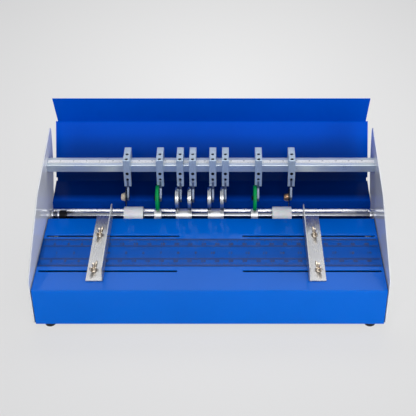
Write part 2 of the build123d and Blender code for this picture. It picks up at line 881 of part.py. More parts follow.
crease_offset = wheel_offset("creasing") + pair_pitch / 2
parts["crease_sleeve_left"] = crease_sleeve(left_pair_x + crease_offset)
parts["crease_sleeve_right"] = crease_sleeve(right_pair_x + crease_offset)
for name, side, blade_x, score_x in (
    ("left", 1, blade_holders_x[0], score_holders_x[0]),
    ("right", -1, blade_holders_x[1], score_holders_x[1]),
):
    soft_x = blade_x + wheel_offset("perforating") + side * soft_sleeve_shift
    ring_x = score_x + wheel_offset("scoring")
    parts[f"soft_sleeve_{name}"] = anvil(soft_sleeve_diameter, soft_sleeve_length, soft_x)
    parts[f"score_ring_{name}"] = anvil(ring_diameter, ring_length, ring_x)


# ---- paper guides ----
guide_z = table_z + table_scale_thickness + guide_lift
nut_seat_z = guide_z + guide_thickness


def paper_guide(fence_x, outward):
    """Steel angle: foot on the table pointing outward, fence on the paper's side."""
    corners = [
        (fence_x, guide_z + guide_fence),
        (fence_x, guide_z),
        (fence_x + outward * guide_foot, guide_z),
    ]
    line = FilletPolyline(*corners, radius=guide_bend)
    turn = Side.RIGHT if outward < 0 else Side.LEFT
    outline = line.wire().offset_2d(guide_thickness, side=turn)
    section = make_face(outline.edges())
    angle = extrude(Plane.XZ * section, amount=guide_front - table_depth - guide_over_table)
    angle = Pos(0, guide_front, 0) * angle
    for y in slot_rows_y:
        stud_x = fence_x + outward * stud_from_fence
        hole_z = (guide_z - overcut, nut_seat_z + overcut)
        angle -= cylinder_z(stud_diameter + screw_hole_gap, stud_x, y, *hole_z)
    return angle


def guide_studs(fence_x, outward):
    """Two headed bolts that rise through the table slots."""
    studs = []
    head_top = table_z - sheet_thickness - stud_head_gap
    for y in slot_rows_y:
        x = fence_x + outward * stud_from_fence
        stud = cylinder_z(stud_head_diameter, x, y, head_top - stud_head_height, head_top)
        tip = nut_seat_z + nut_height + stud_proud
        shank = cylinder_z(stud_diameter, x, y, head_top - stud_head_height / 2, tip)
        shank = chamfer(shank.edges().sort_by(Axis.Z)[-1], stud_chamfer)
        studs.append(stud + shank)
    return Compound(children=studs)


def wing_nut(turn):
    """Wing nut with two upswept rounded wings, its seat at z = 0."""
    body_radius = stud_diameter / 2 + nut_body_wall
    body = Cone(body_radius, stud_diameter / 2 + nut_top_wall, nut_body_height)
    body = Pos(0, 0, nut_body_height / 2) * body
    tip = Pos(nut_span / 2 - nut_wing_radius, nut_height - nut_wing_radius) * Circle(nut_wing_radius)
    root = Pos(body_radius / 2, nut_body_height / 2) * Rectangle(body_radius / 2, nut_root_height)
    outline = make_hull(tip.edges() + root.edges())
    wing = extrude(Plane.XZ * outline, amount=nut_wing_thickness / 2, both=True)
    wing = fillet(wing.faces().filter_by(Axis.Y).edges(), nut_wing_round)
    nut = body + wing + Rot(0, 0, 180) * wing
    nut -= cylinder_z(stud_diameter + 2 * running_clearance, 0, 0, -overcut, nut_height)
    return Rot(0, 0, turn) * nut


for name, fence_x, outward in (("left", left_fence_x, -1), ("right", right_fence_x, 1)):
    parts[f"{name}_guide"] = paper_guide(fence_x, outward)
    parts[f"{name}_guide_studs"] = guide_studs(fence_x, outward)
    stud_x = fence_x + outward * stud_from_fence
    for place, y in zip(("front", "back"), slot_rows_y):
        label = f"{name}_{place}"
        seat = Pos(stud_x, y, nut_seat_z)
        parts[f"wing_nut_{label}"] = seat * wing_nut(nut_turns[label])


# ---- move to the middle of the footprint and write ----
whole = Compound(children=[shape.moved(Location()) for shape in parts.values()]).bounding_box()
to_middle = Location((-(whole.min.X + whole.max.X) / 2, -(whole.min.Y + whole.max.Y) / 2, 0))
print("origin shift:", to_middle.position, "size:", whole.size, "lowest:", whole.min.Z)
print("axle heights:", blade_axle_z, score_axle_z, crease_axle_z)

os.makedirs("parts", exist_ok=True)
for node, shape in parts.items():
    export_step(shape.moved(to_middle), f"parts/{node}.step")
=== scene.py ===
import math

import bmesh
import bpy
import numpy as np
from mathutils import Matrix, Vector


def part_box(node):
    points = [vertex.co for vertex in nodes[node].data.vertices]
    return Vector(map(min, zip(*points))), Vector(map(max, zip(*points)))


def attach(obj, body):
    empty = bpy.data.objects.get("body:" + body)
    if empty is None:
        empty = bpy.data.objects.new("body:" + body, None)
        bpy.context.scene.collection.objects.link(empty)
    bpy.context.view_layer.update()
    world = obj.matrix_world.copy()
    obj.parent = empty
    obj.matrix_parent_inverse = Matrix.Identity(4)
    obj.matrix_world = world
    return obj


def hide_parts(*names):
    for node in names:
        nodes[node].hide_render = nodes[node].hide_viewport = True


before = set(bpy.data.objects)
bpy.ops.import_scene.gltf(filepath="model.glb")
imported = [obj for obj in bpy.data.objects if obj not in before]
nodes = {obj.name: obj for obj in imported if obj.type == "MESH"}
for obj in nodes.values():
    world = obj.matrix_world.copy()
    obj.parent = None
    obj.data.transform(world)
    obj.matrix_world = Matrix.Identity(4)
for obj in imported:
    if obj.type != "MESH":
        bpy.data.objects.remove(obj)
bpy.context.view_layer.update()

mm = 0.001

# ---------------------------------------------------------------------------
# Studio: a pale floor, soft lamps and the camera of the photograph.
# The camera stands 1.04 m in front of the machine's panel and 0.98 m above
# its lower edge, and looks down at 36.4 degrees through an 86 mm lens.
# ---------------------------------------------------------------------------
panel_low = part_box("base_cover")[0]
machine_x = (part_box("left_side_plate")[0].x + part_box("right_side_plate")[1].x) / 2
camera_right = 27 * mm
camera_forward = 1041.3 * mm
camera_above = 975 * mm
camera_pitch = math.radians(36.4)
photo_width = 416
focal_pixels = 990
view_center_pixel = 228.8

camera = bpy.data.objects.new("camera", bpy.data.cameras.new("camera"))
bpy.context.scene.collection.objects.link(camera)
camera.location = (
    machine_x + camera_right, panel_low.y - camera_forward, panel_low.z + camera_above)
camera.rotation_euler = (math.pi / 2 - camera_pitch, 0, 0)
camera.data.sensor_width = 36
camera.data.lens = focal_pixels / photo_width * camera.data.sensor_width
camera.data.shift_x = (photo_width / 2 - view_center_pixel) / photo_width
camera.data.clip_end = 20  # metres, past the floor's far edge
bpy.context.scene.camera = camera
bpy.context.scene.view_settings.view_transform = "Standard"
lamp_target = (0, 0, 80 * mm)


def soft_lamp(name, place, size, power):
    """Rectangular area lamp whose -Z axis points at the target.

    For the aim (x, y, z) the tilt is atan2(|(x, y)|, -z) and the turn is atan2(y, x) - 90 degrees.
    """
    lamp = bpy.data.objects.new(name, bpy.data.lights.new(name, "AREA"))
    bpy.context.scene.collection.objects.link(lamp)
    lamp.data.shape = "RECTANGLE"
    lamp.data.size, lamp.data.size_y = size
    lamp.data.energy = power
    lamp.location = place
    aim = np.array(lamp_target) - np.array(place)
    tilt = math.atan2(math.hypot(aim[0], aim[1]), -aim[2])
    lamp.rotation_euler = (tilt, 0, math.atan2(aim[1], aim[0]) - math.pi / 2)


# Places and sizes in metres, powers in watts.
soft_lamp("lamp_above_back", place=(0.0, 0.75, 1.15), size=(1.6, 0.6), power=6.8)
soft_lamp("lamp_above_front", place=(0.0, -1.5, 1.6), size=(1.6, 0.8), power=19)
soft_lamp("lamp_front_low", place=(0.0, -2.2, 0.45), size=(2.4, 0.6), power=2)
soft_lamp("lamp_right_side", place=(1.5, -0.1, 0.55), size=(0.9, 0.7), power=6.5)
soft_lamp("lamp_front_left", place=(-1.5, -1.3, 0.6), size=(0.9, 0.7), power=6)
soft_lamp("lamp_front_right", place=(1.5, -1.3, 0.6), size=(0.9, 0.7), power=11)


def srgb(red, green, blue):
    """Linear colour of an 8-bit display colour c: ((c + 0.055) / 1.055) ** 2.4, or c / 12.92 near black."""
    parts = np.array([red, green, blue]) / 255
    linear = np.where(parts < 0.04045, parts / 12.92, ((parts + 0.055) / 1.055) ** 2.4)
    return (*linear.tolist(), 1.0)


def new_material(name):
    """Node material with its Principled shader; returns (material, nodes, links, shader)."""
    material = bpy.data.materials.new(name)
    material.use_nodes = True
    tree = material.node_tree
    return material, tree.nodes, tree.links, tree.nodes["Principled BSDF"]


def math_node(tree, operation, first, second):
    """Math node with numbers or sockets; returns its value socket."""
    node = tree.nodes.new("ShaderNodeMath")
    node.operation = operation
    for index, value in enumerate((first, second)):
        if isinstance(value, (int, float)):
            node.inputs[index].default_value = value
        else:
            tree.links.new(value, node.inputs[index])
    return node.outputs["Value"]


def color_ramp(tree, value, stops):
    """Colour ramp on a value socket; stops are (position, colour) from first to last."""
    ramp = tree.nodes.new("ShaderNodeValToRGB")
    elements = ramp.color_ramp.elements
    for element, stop in ((elements[0], stops[0]), (elements[1], stops[-1])):
        element.position, element.color = stop
    for position, color in stops[1:-1]:
        elements.new(position).color = color
    tree.links.new(value, ramp.inputs["Fac"])
    return ramp.outputs["Color"]


# The world lights the object with a plain grey. The camera sees a backdrop of the far
# floor's colour, and gloss sees air that brightens from the horizon to the top.
studio_air = bpy.data.worlds.new("studio_air")
bpy.context.scene.world = studio_air
studio_air.use_nodes = True
air_tree = studio_air.node_tree
air_nodes = air_tree.nodes
air_links = air_tree.links
air_light = air_nodes["Background"]
air_light.inputs["Color"].default_value = srgb(232, 236, 242)
air_light.inputs["Strength"].default_value = 0.2
air_seen = air_nodes.new("ShaderNodeBackground")
air_height = air_nodes.new("ShaderNodeSeparateXYZ")
air_links.new(air_nodes.new("ShaderNodeTexCoord").outputs["Generated"], air_height.inputs["Vector"])
air_tone = color_ramp(air_tree, air_height.outputs["Z"], [
    (0.0, srgb(150, 156, 164)), (0.6, srgb(136, 144, 154)),
    (0.84, srgb(205, 209, 214)), (1.0, srgb(236, 238, 240))])
air_path = air_nodes.new("ShaderNodeLightPath")
air_backdrop = air_nodes.new("ShaderNodeMix")
air_backdrop.data_type = "RGBA"
air_links.new(air_path.outputs["Is Camera Ray"], air_backdrop.inputs["Factor"])
air_links.new(air_tone, air_backdrop.inputs["A"])
air_backdrop.inputs["B"].default_value = srgb(196, 196, 197)
air_links.new(air_backdrop.outputs["Result"], air_seen.inputs["Color"])
air_choice = air_nodes.new("ShaderNodeMixShader")
air_rays = air_path.outputs["Is Camera Ray"]
for kind in ("Glossy", "Transmission"):
    air_rays = math_node(air_tree, "MAXIMUM", air_rays, air_path.outputs[f"Is {kind} Ray"])
air_links.new(air_rays, air_choice.inputs["Fac"])
air_links.new(air_light.outputs["Background"], air_choice.inputs[1])
air_links.new(air_seen.outputs["Background"], air_choice.inputs[2])
air_links.new(air_choice.outputs["Shader"], air_nodes["World Output"].inputs["Surface"])

# The floor is matt paper with a painted pool of light, palest behind and around the machine. The camera sees
# most of its colour directly, and the rest as lit, with the machine's shadow.
floor_paper, paper_nodes, paper_links, paper_shader = new_material("floor_paper")
paper_tree = floor_paper.node_tree
paper_shader.inputs["Roughness"].default_value = 0.85
paper_place = paper_nodes.new("ShaderNodeTexCoord").outputs["Object"]
paper_fibre = paper_nodes.new("ShaderNodeTexNoise")
paper_links.new(paper_place, paper_fibre.inputs["Vector"])
paper_fibre.inputs["Scale"].default_value = 900
painted_light_middle = paper_nodes.new("ShaderNodeMapping")
paper_links.new(paper_place, painted_light_middle.inputs["Vector"])
painted_light_middle.inputs["Location"].default_value = (0, -0.32, 0)
painted_light_middle.inputs["Scale"].default_value = (1.15, 0.72, 0.72)
# Painted light: a spherical pool of light on the floor, brightest behind and around the machine.
floor_painted_light = paper_nodes.new("ShaderNodeTexGradient")
floor_painted_light.gradient_type = "SPHERICAL"
paper_links.new(painted_light_middle.outputs["Vector"], floor_painted_light.inputs["Vector"])
paper_grain = math_node(paper_tree, "MULTIPLY", paper_fibre.outputs["Fac"], 0.06)
painted_light_and_grain = math_node(paper_tree, "ADD", floor_painted_light.outputs["Fac"], paper_grain)
paper_tone = color_ramp(paper_tree, painted_light_and_grain, [(0.0, srgb(208, 208, 209)), (1.0, srgb(241, 241, 241))])
paper_links.new(paper_tone, paper_shader.inputs["Base Color"])
paper_seen = paper_nodes.new("ShaderNodeEmission")
paper_links.new(paper_tone, paper_seen.inputs["Color"])
paper_path = paper_nodes.new("ShaderNodeLightPath")
paper_seen_share = 0.82
paper_share = math_node(paper_tree, "MULTIPLY", paper_path.outputs["Is Camera Ray"], paper_seen_share)
paper_choice = paper_nodes.new("ShaderNodeMixShader")
paper_links.new(paper_share, paper_choice.inputs["Fac"])
paper_links.new(paper_shader.outputs["BSDF"], paper_choice.inputs[1])
paper_links.new(paper_seen.outputs["Emission"], paper_choice.inputs[2])
paper_links.new(paper_choice.outputs["Shader"], paper_nodes["Material Output"].inputs["Surface"])
floor_reach = 6.0
floor_corners = [(x * floor_reach, y * floor_reach, 0) for x, y in ((-1, -1), (1, -1), (1, 1), (-1, 1))]
floor_mesh = bpy.data.meshes.new("floor")
floor_mesh.from_pydata(floor_corners, [], [(0, 1, 2, 3)])
floor_mesh.materials.append(floor_paper)
floor = bpy.data.objects.new("floor", floor_mesh)
bpy.context.scene.collection.objects.link(floor)


# ---------------------------------------------------------------------------
# Base cover and paper tray: steel sheet, laser cut and folded, with a glossy
# blue powder coat. The table has four long slots; sheets have rubbed it a
# little smoother along the feed direction.
# ---------------------------------------------------------------------------
def shader_group(name, inputs, outputs):
    """Empty shader node group from inputs (name, kind, start value) and outputs (name, kind).

    Returns the tree and its inner input and output nodes.
    """
    tree = bpy.data.node_groups.new(name, "ShaderNodeTree")
    for label, kind, start in inputs:
        socket = tree.interface.new_socket(name=label, in_out="INPUT", socket_type=kind)
        socket.default_value = start
    for label, kind in outputs:
        tree.interface.new_socket(name=label, in_out="OUTPUT", socket_type=kind)
    return tree, tree.nodes.new("NodeGroupInput"), tree.nodes.new("NodeGroupOutput")


def noise_at(tree, vector, scale, detail, roughness=0.5):
    """Noise texture on a vector socket; returns its value socket."""
    noise = tree.nodes.new("ShaderNodeTexNoise")
    tree.links.new(vector, noise.inputs["Vector"])
    noise.inputs["Scale"].default_value = scale
    noise.inputs["Detail"].default_value = detail
    noise.inputs["Roughness"].default_value = roughness
    return noise.outputs["Fac"]


def remap(tree, value, from_low, from_high, to_low, to_high):
    """Clamped linear map of a value; the limits are numbers or sockets."""
    node = tree.nodes.new("ShaderNodeMapRange")
    tree.links.new(value, node.inputs["Value"])
    limits = {"From Min": from_low, "From Max": from_high, "To Min": to_low, "To Max": to_high}
    for label, limit in limits.items():
        if isinstance(limit, (int, float)):
            node.inputs[label].default_value = limit
        else:
            tree.links.new(limit, node.inputs[label])
    return node.outputs["Result"]


def scaled(tree, vector, factors):
    """Vector times three factors, given as numbers or as a socket."""
    node = tree.nodes.new("ShaderNodeVectorMath")
    node.operation = "MULTIPLY"
    tree.links.new(vector, node.inputs[0])
    if isinstance(factors, tuple):
        node.inputs[1].default_value = factors
    else:
        tree.links.new(factors, node.inputs[1])
    return node.outputs["Vector"]


def toned(tree, color, value):
    """Colour times a grey value."""
    node = tree.nodes.new("ShaderNodeVectorMath")
    node.operation = "SCALE"
    tree.links.new(color, node.inputs["Vector"])
    tree.links.new(value, node.inputs["Scale"])
    return node.outputs["Vector"]


skin_outputs = [("Color", "NodeSocketColor"), ("Roughness", "NodeSocketFloat"), ("Height", "NodeSocketFloat")]


def build_powder_coat():
    """Group: orange-peel skin, faint cloudiness, fine dust specks and rub marks along Y; the Shade input
    multiplies the colour and carries painted shade.
    """
    tree, given, result = shader_group(
        "powder_coat",
        [("Color", "NodeSocketColor", (0.5, 0.5, 0.5, 1)), ("Smooth", "NodeSocketFloat", 0.2),
         ("Dull", "NodeSocketFloat", 0.3), ("Shade", "NodeSocketFloat", 1.0)],
        skin_outputs)
    place = tree.nodes.new("ShaderNodeTexCoord").outputs["Object"]
    cloud = noise_at(tree, place, 7, 3)
    tone = remap(tree, cloud, 0.3, 0.7, 0.95, 1.05)
    speck = noise_at(tree, place, 950, 1)
    dust = remap(tree, speck, 0.74, 0.82, 0.0, 0.25)
    tone = math_node(tree, "ADD", tone, dust)
    tone = math_node(tree, "MULTIPLY", tone, given.outputs["Shade"])
    tree.links.new(toned(tree, given.outputs["Color"], tone), result.inputs["Color"])
    rub = noise_at(tree, scaled(tree, place, (140.0, 9.0, 30.0)), 1, 3, 0.6)
    rubbed = remap(tree, rub, 0.3, 0.75, given.outputs["Smooth"], given.outputs["Dull"])
    tree.links.new(rubbed, result.inputs["Roughness"])
    peel = noise_at(tree, place, 620, 1.5)
    tree.links.new(peel, result.inputs["Height"])
    return tree


powder_coat = build_powder_coat()


def coated(name, color, smooth, dull, peel_height, gloss):
    """Powder-coated sheet: colour and skin from the powder_coat group."""
    material, own, links, shader = new_material(name)
    skin = own.new("ShaderNodeGroup")
    skin.node_tree = powder_coat
    skin.inputs["Color"].default_value = color
    skin.inputs["Smooth"].default_value = smooth
    skin.inputs["Dull"].default_value = dull
    bump = own.new("ShaderNodeBump")
    bump.inputs["Strength"].default_value = peel_height
    bump.inputs["Distance"].default_value = 0.02 * mm
    links.new(skin.outputs["Color"], shader.inputs["Base Color"])
    links.new(skin.outputs["Roughness"], shader.inputs["Roughness"])
    links.new(skin.outputs["Height"], bump.inputs["Height"])
    links.new(bump.outputs["Normal"], shader.inputs["Normal"])
    shader.inputs["Specular IOR Level"].default_value = gloss
    return material


def dress(material, *names):
    """Puts a finish on every material slot of CAD nodes."""
    for name in names:
        for slot in nodes[name].material_slots:
            slot.material = material


cover_coat = coated("cover_coat", srgb(0, 101, 211), smooth=0.06, dull=0.14, peel_height=0.2, gloss=0.1)
# Painted shade: the tray's coat is the cover's blue paint in a darker tone, standing in for the shade of the
# trough.
shaded_tray_coat = coated("shaded_tray_coat", srgb(0, 80, 203), smooth=0.1, dull=0.2, peel_height=0.2, gloss=0.01)
dress(cover_coat, "base_cover")
dress(shaded_tray_coat, "paper_tray")

# Painted shade: the tray's floor and the foot of its slope are darkened towards the bottom, as the trough's
# shade.
# A painted highlight lightens the lip in front of the floor.
tray_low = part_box("paper_tray")[0]
painted_shade_low = tray_low.z + 33 * mm
painted_shade_high = tray_low.z + 88 * mm
painted_shade_tone = 0.17
lip_highlight_front = tray_low.y + 2 * mm
lip_highlight_back = tray_low.y + 14 * mm
lip_highlight_lift = 0.45
tray_tree = shaded_tray_coat.node_tree
tray_skin = next(node for node in tray_tree.nodes if node.type == "GROUP")
tray_place = tray_tree.nodes.new("ShaderNodeSeparateXYZ")
tray_coordinates = tray_tree.nodes.new("ShaderNodeTexCoord")
tray_tree.links.new(tray_coordinates.outputs["Object"], tray_place.inputs["Vector"])
# Painted shade: darker towards the bottom of the tray.
tray_painted_shade = remap(tray_tree, tray_place.outputs["Z"], painted_shade_low, painted_shade_high, painted_shade_tone, 1.0)
# Painted highlight: lighter along the lip.
tray_lip_highlight = remap(tray_tree, tray_place.outputs["Y"], lip_highlight_front, lip_highlight_back, lip_highlight_lift, 0.0)
tray_tree.links.new(math_node(tray_tree, "ADD", tray_painted_shade, tray_lip_highlight), tray_skin.inputs["Shade"])


# ---------------------------------------------------------------------------
# Side plates: steel sheet with a glossy light grey powder coat. They carry
# the beam, the rod, the tray and the shaft bushes.
# ---------------------------------------------------------------------------
grey_coat = coated("grey_coat", srgb(222, 224, 227), smooth=0.06, dull=0.13, peel_height=0.12, gloss=0.5)
dress(grey_coat, "left_side_plate", "right_side_plate")


# ---------------------------------------------------------------------------
# Bottom pan and rubber feet: the pan is folded zinc-plated sheet with its
# black passivated film, kept near black also as painted shade seen through the table slots.
# The feet are moulded rubber pushed through it.
# ---------------------------------------------------------------------------
def build_metal_grain():
    """Group: fine grain stretched by three factors, with soft smudges over it."""
    tree, given, result = shader_group(
        "metal_grain",
        [("Color", "NodeSocketColor", (0.6, 0.6, 0.6, 1)), ("Grain", "NodeSocketVector", (900, 900, 900)),
         ("Contrast", "NodeSocketFloat", 0.1), ("Smooth", "NodeSocketFloat", 0.2),
         ("Dull", "NodeSocketFloat", 0.35)],
        skin_outputs)
    place = tree.nodes.new("ShaderNodeTexCoord").outputs["Object"]
    grain = noise_at(tree, scaled(tree, place, given.outputs["Grain"]), 1, 4, 0.65)
    smudge = noise_at(tree, place, 38, 3, 0.6)
    around_zero = math_node(tree, "SUBTRACT", grain, 0.5)
    swing = math_node(tree, "MULTIPLY", around_zero, given.outputs["Contrast"])
    stain = remap(tree, smudge, 0.35, 0.75, 1.03, 0.93)
    tone = math_node(tree, "ADD", swing, stain)
    tree.links.new(toned(tree, given.outputs["Color"], tone), result.inputs["Color"])
    wear = math_node(tree, "MULTIPLY", math_node(tree, "ADD", grain, smudge), 0.5)
    worn = remap(tree, wear, 0.35, 0.65, given.outputs["Smooth"], given.outputs["Dull"])
    tree.links.new(worn, result.inputs["Roughness"])
    tree.links.new(grain, result.inputs["Height"])
    return tree


metal_grain = build_metal_grain()


def metal(name, color, grain, contrast, smooth, dull, relief, metallic=1.0):
    """Bare metal: colour, roughness and relief from the metal_grain group."""
    material, own, links, shader = new_material(name)
    skin = own.new("ShaderNodeGroup")
    skin.node_tree = metal_grain
    values = {"Color": color, "Grain": grain, "Contrast": contrast, "Smooth": smooth, "Dull": dull}
    for label, value in values.items():
        skin.inputs[label].default_value = value
    bump = own.new("ShaderNodeBump")
    bump.inputs["Strength"].default_value = relief
    bump.inputs["Distance"].default_value = 0.01 * mm
    links.new(skin.outputs["Color"], shader.inputs["Base Color"])
    links.new(skin.outputs["Roughness"], shader.inputs["Roughness"])
    links.new(skin.outputs["Height"], bump.inputs["Height"])
    links.new(bump.outputs["Normal"], shader.inputs["Normal"])
    shader.inputs["Metallic"].default_value = metallic
    return material


def moulded(name, color, grain_size, smooth, dull, relief, gloss=0.5):
    """Plastic or rubber with a fine moulded or turned skin of the given grain size."""
    material, own, links, shader = new_material(name)
    place = own.new("ShaderNodeTexCoord").outputs["Object"]
    tree = material.node_tree
    fine = noise_at(tree, place, 1 / grain_size, 2)
    broad = noise_at(tree, place, 60, 2)
    shade = own.new("ShaderNodeRGB")
    shade.outputs[0].default_value = color
    tone = remap(tree, broad, 0.3, 0.7, 0.93, 1.05)
    links.new(toned(tree, shade.outputs[0], tone), shader.inputs["Base Color"])
    links.new(remap(tree, fine, 0.3, 0.7, smooth, dull), shader.inputs["Roughness"])
    bump = own.new("ShaderNodeBump")
    bump.inputs["Strength"].default_value = relief
    bump.inputs["Distance"].default_value = 0.02 * mm
    links.new(fine, bump.inputs["Height"])
    links.new(bump.outputs["Normal"], shader.inputs["Normal"])
    shader.inputs["Specular IOR Level"].default_value = gloss
    return material


# Partly painted shade: the pan's black zinc is kept near black so that the table slots look shaded.
black_zinc_and_shade = metal("black_zinc_and_shade", srgb(40, 41, 43), grain=(120, 120, 120), contrast=0.3,
                   smooth=0.35, dull=0.55, relief=0.1)
dress(black_zinc_and_shade, "bottom_pan")
foot_rubber = moulded("foot_rubber", srgb(24, 24, 25), grain_size=0.5 * mm, smooth=0.55, dull=0.8, relief=0.4)
dress(foot_rubber, "rubber_feet")


# ---------------------------------------------------------------------------
# Table rule: clear self-adhesive film with three bands of dark blue print,
# centimetres at the front and back and inches between, all counted from the
# left plate.
# ---------------------------------------------------------------------------
def stroke_corners(boxes, height):
    """Corners of flat marks: each row (x0, x1, y0, y1) gives a rectangle at one height, facing up."""
    x0, x1, y0, y1 = np.asarray(boxes).T
    z = np.full_like(x0, height)
    loop = ((x0, y0, z), (x1, y0, z), (x1, y1, z), (x0, y1, z))
    return np.stack([np.stack(corner, -1) for corner in loop], 1).reshape(-1, 3)


def numeral_shape(text, size):
    """Flat outline of a number as points and faces, centred on its own middle."""
    curve = bpy.data.curves.new("numeral", "FONT")
    curve.body = text
    curve.size = size
    curve.resolution_u = 3
    curve.offset = size * 0.02
    holder = bpy.data.objects.new("numeral", curve)
    mesh = bpy.data.meshes.new_from_object(holder)
    points = np.zeros(len(mesh.vertices) * 3)
    mesh.vertices.foreach_get("co", points)
    points = points.reshape(-1, 3)
    points[:, :2] -= (points[:, :2].min(0) + points[:, :2].max(0)) / 2
    faces = [tuple(polygon.vertices) for polygon in mesh.polygons]
    bpy.data.objects.remove(holder)
    bpy.data.curves.remove(curve)
    bpy.data.meshes.remove(mesh)
    return points, faces


def place_piece(name, points, faces, body, material, replaces=()):
    """Makes a piece from points and faces in its final place and tells the frame about it."""
    mesh = bpy.data.meshes.new(name)
    mesh.from_pydata([tuple(point) for point in points.tolist()], [], faces)
    mesh.materials.append(material)
    piece = bpy.data.objects.new(name, mesh)
    bpy.context.scene.collection.objects.link(piece)
    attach(piece, body)
    if replaces:
        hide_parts(*replaces)
    return piece


def printed_piece(name, boxes, numerals, size, height, ink):
    """One flat piece of print: rectangles plus numbers given as (text, x, y)."""
    points = [stroke_corners(boxes, height)]
    count = len(points[0])
    faces = np.arange(count).reshape(-1, 4).tolist()
    for text, x, y in numerals:
        shape, shape_faces = numeral_shape(text, size)
        points.append(shape + (x, y, height))
        faces += [tuple(index + count for index in face) for face in shape_faces]
        count += len(shape)
    return place_piece(name, np.concatenate(points), faces, "frame", ink)


def tick_lengths(count, whole, half, longest, middle, shortest):
    """Length of each counted mark: the longest at whole steps, the middle one at half steps."""
    return np.where(count % whole == 0, longest, np.where(count % half == 0, middle, shortest)) * mm


def tick_row(x, width, base_y, length):
    """Marks centred on x that run from a base line by a signed length."""
    low = np.minimum(base_y, base_y + length)
    high = np.maximum(base_y, base_y + length)
    return np.stack([x - width / 2, x + width / 2, low + 0 * x, high + 0 * x], -1)


film, film_nodes, film_links, film_shader = new_material("rule_film")
film_tree = film.node_tree
film_place = film_nodes.new("ShaderNodeTexCoord").outputs["Object"]
film_haze = noise_at(film_tree, scaled(film_tree, film_place, (30.0, 90.0, 30.0)), 1, 3)
film_links.new(remap(film_tree, film_haze, 0.3, 0.75, 0.12, 0.3), film_shader.inputs["Roughness"])
film_links.new(remap(film_tree, film_haze, 0.3, 0.75, 0.1, 0.18), film_shader.inputs["Alpha"])
film_shader.inputs["Base Color"].default_value = srgb(30, 80, 160)
film_shader.inputs["Specular IOR Level"].default_value = 0.2
dress(film, "table_scale")

rule_low, rule_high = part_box("table_scale")
rule_ink = moulded("rule_ink", srgb(4, 18, 66), grain_size=0.4 * mm, smooth=0.35, dull=0.5, relief=0.1)
half_gap = 250 * mm
rule_zero = machine_x - half_gap
ink_height = 0.02 * mm
band_line_width = 0.7 * mm
tick_width = 0.42 * mm
rule_edge = 1.0 * mm
inch = 25.4 * mm
back_line_y = rule_high.y - rule_edge
back_band_y = panel_low.y + 99.5 * mm
front_band_y = panel_low.y + 70.6 * mm
front_line_y = rule_low.y + rule_edge

line_left = rule_low.x + rule_edge
line_right = rule_high.x - rule_edge
line_boxes = [(line_left, line_right, y - band_line_width / 2, y + band_line_width / 2)
              for y in (back_line_y, back_band_y, front_band_y, front_line_y)]
millimetre = np.arange(4, 497)
millimetre_x = rule_zero + millimetre * mm
millimetre_long = tick_lengths(millimetre, 10, 5, 7.5, 5.0, 3.2)
millimetre_short = tick_lengths(millimetre, 10, 10, 3.4, 2.0, 2.0)
eighth = np.arange(2, 156)
eighth_x = rule_zero + eighth * inch / 8
eighth_long = tick_lengths(eighth, 8, 4, 8.0, 5.0, 3.0)
rule_boxes = np.concatenate([
    np.array(line_boxes),
    tick_row(millimetre_x, tick_width, back_line_y, -millimetre_long),
    tick_row(millimetre_x, tick_width, back_band_y, millimetre_short),
    tick_row(eighth_x, tick_width, back_band_y, -eighth_long * 0.55),
    tick_row(eighth_x, tick_width, front_band_y, eighth_long * 0.8),
    tick_row(millimetre_x, tick_width, front_band_y, -millimetre_short),
    tick_row(millimetre_x, tick_width, front_line_y, millimetre_long),
])
two_centimetres = np.arange(2, 50, 2)
centimetre_x = rule_zero + two_centimetres * 10 * mm
back_numeral_y = back_band_y + 5.4 * mm
front_numeral_y = front_band_y - 5.2 * mm
inch_numeral_y = (back_band_y + front_band_y) / 2 - 1 * mm
rule_numerals = [(str(value), x, y) for value, x in zip(two_centimetres, centimetre_x)
                 for y in (back_numeral_y, front_numeral_y)]
rule_numerals += [(str(value), rule_zero + value * inch, inch_numeral_y) for value in range(1, 20)]
rule_numeral_size = 7.2 * mm
printed_piece("table_print", rule_boxes, rule_numerals, rule_numeral_size, rule_high.z + ink_height,
              rule_ink)


# ---------------------------------------------------------------------------
# Cross beam and its tape: drawn aluminium bar, clear anodised, grained along
# its length. A white tape with centimetres is stuck on its top.
# ---------------------------------------------------------------------------
beam_aluminium = metal("beam_aluminium", srgb(196, 205, 208), grain=(14.0, 1500.0, 1500.0), contrast=0.35,
                       smooth=0.26, dull=0.42, relief=0.3, metallic=0.75)
dress(beam_aluminium, "tool_beam")
tape_vinyl = moulded("tape_vinyl", srgb(240, 240, 241), grain_size=0.6 * mm, smooth=0.35, dull=0.5,
                     relief=0.1)
dress(tape_vinyl, "beam_scale")

tape_low, tape_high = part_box("beam_scale")
tape_ink = moulded("tape_ink", srgb(92, 94, 100), grain_size=0.4 * mm, smooth=0.4, dull=0.5, relief=0.1)
tape_tick_width = 0.26 * mm
tape_tick_y = tape_low.y + 0.4 * mm
tape_numeral_y = tape_high.y - 2.2 * mm
tape_long = tick_lengths(millimetre, 10, 5, 3.2, 2.4, 1.5)
tape_boxes = tick_row(millimetre_x, tape_tick_width, tape_tick_y, tape_long)
tape_numerals = [(str(value), x, tape_numeral_y) for value, x in zip(two_centimetres, centimetre_x)]
tape_numeral_size = 3.0 * mm
printed_piece("beam_print", tape_boxes, tape_numerals, tape_numeral_size, tape_high.z + ink_height,
              tape_ink)


# ---------------------------------------------------------------------------
# Drive shaft, tie rod, bushes and collar: ground and chromed round bars
# between the plates. The shaft's journals run in flanged steel bushes, and a
# black clamping collar with a bright thrust ring sits near its left end.
# ---------------------------------------------------------------------------
def node_middle(name):
    """Middle of a CAD node's box."""
    low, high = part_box(name)
    return tuple((low + high) / 2)


